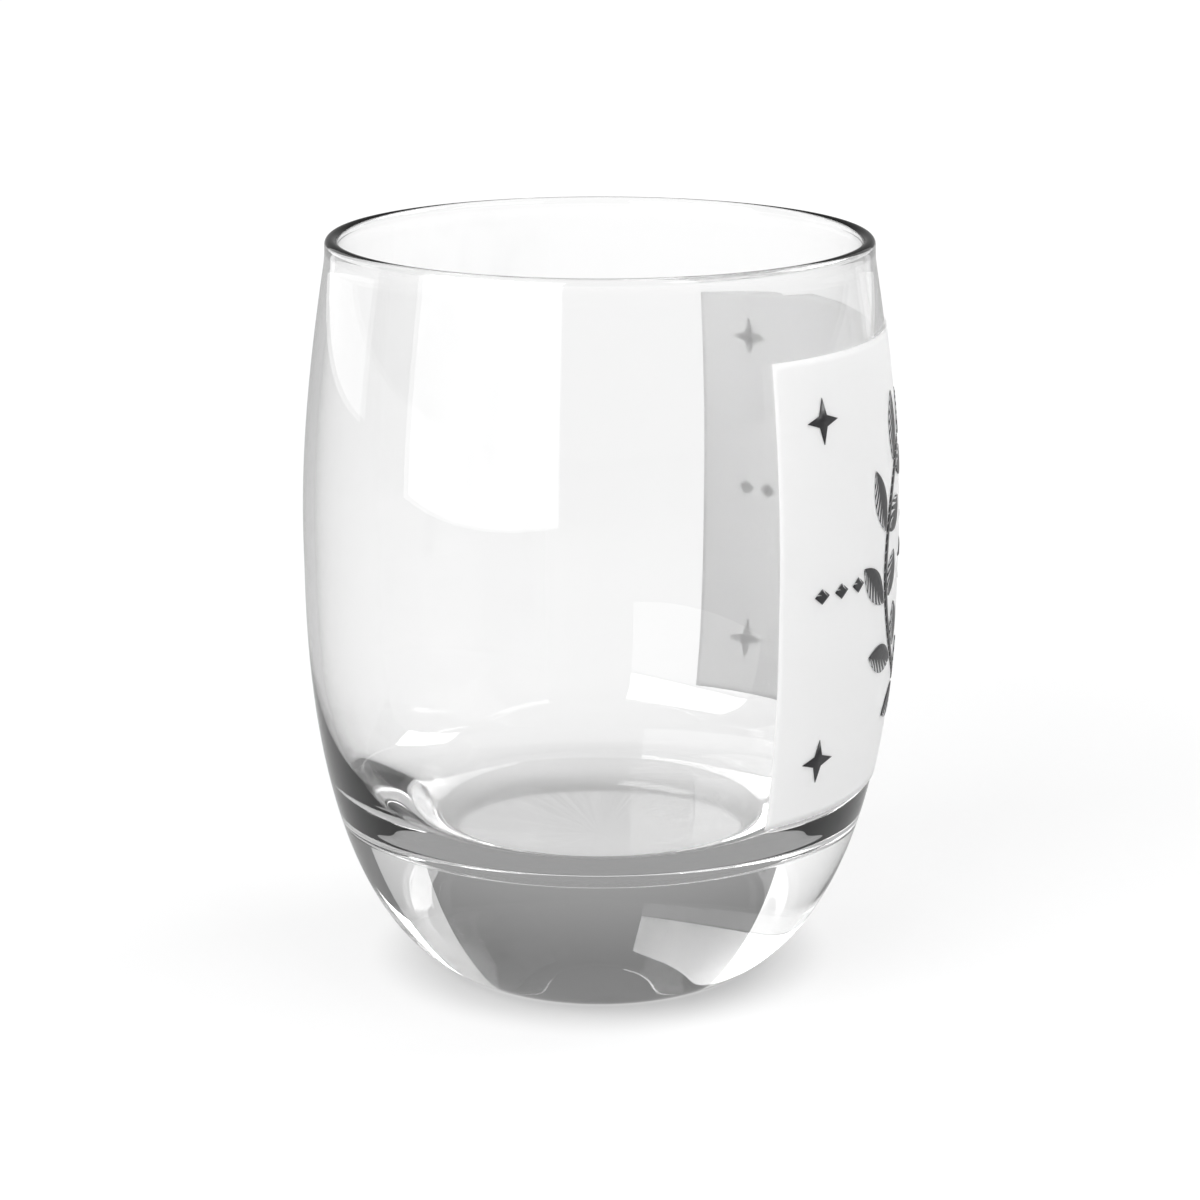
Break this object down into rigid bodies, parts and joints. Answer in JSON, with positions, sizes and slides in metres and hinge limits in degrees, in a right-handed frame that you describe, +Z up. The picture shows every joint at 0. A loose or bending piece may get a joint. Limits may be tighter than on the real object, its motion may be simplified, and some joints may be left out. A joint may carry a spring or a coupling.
{
  "type": "whisky glass",
  "caption": "Clear barrel-shaped whisky glass with a thick solid base, a rounded rim bead and a white printed panel that carries a dark wreath-and-star ornament.",
  "frame": {"origin": "centre of the flat foot, on the glass's axis", "axes": "+Z up along the glass's axis, the printed panel faces -Y, +X to the right of someone facing the panel"},
  "size_m": [0.07, 0.0704, 0.088],
  "materials": {
    "clear_glass": "clear, polished",
    "white_print": "opaque white screen print, satin",
    "dark_ink": "opaque near-black screen print, satin"
  },
  "bodies": {
    "root": {"glass_body": "clear_glass", "left_diamond_1": "dark_ink", "left_diamond_2": "dark_ink", "left_diamond_3": "dark_ink", "left_inner_grain_1": "dark_ink", "left_inner_grain_2": "dark_ink", "left_inner_grain_3": "dark_ink", "left_inner_grain_4": "dark_ink", "left_inner_grain_5": "dark_ink", "left_outer_grain_1": "dark_ink", "left_outer_grain_2": "dark_ink", "left_outer_grain_3": "dark_ink", "left_outer_grain_4": "dark_ink", "left_outer_grain_5": "dark_ink", "left_stem": "dark_ink", "left_tip_grain": "dark_ink", "print_ground": "white_print", "right_diamond_1": "dark_ink", "right_diamond_2": "dark_ink", "right_diamond_3": "dark_ink", "right_inner_grain_1": "dark_ink", "right_inner_grain_2": "dark_ink", "right_inner_grain_3": "dark_ink", "right_inner_grain_4": "dark_ink", "right_inner_grain_5": "dark_ink", "right_outer_grain_1": "dark_ink", "right_outer_grain_2": "dark_ink", "right_outer_grain_3": "dark_ink", "right_outer_grain_4": "dark_ink", "right_outer_grain_5": "dark_ink", "right_stem": "dark_ink", "right_tip_grain": "dark_ink", "sparkle_lower_left": "dark_ink", "sparkle_lower_right": "dark_ink", "sparkle_upper_left": "dark_ink", "sparkle_upper_right": "dark_ink", "star_ray_1": "dark_ink", "star_ray_2": "dark_ink", "star_ray_3": "dark_ink", "star_ray_4": "dark_ink", "star_ray_5": "dark_ink", "star_ray_6": "dark_ink", "star_ray_7": "dark_ink", "star_ray_8": "dark_ink", "wreath_tie": "dark_ink"}
  },
  "joints": []
}
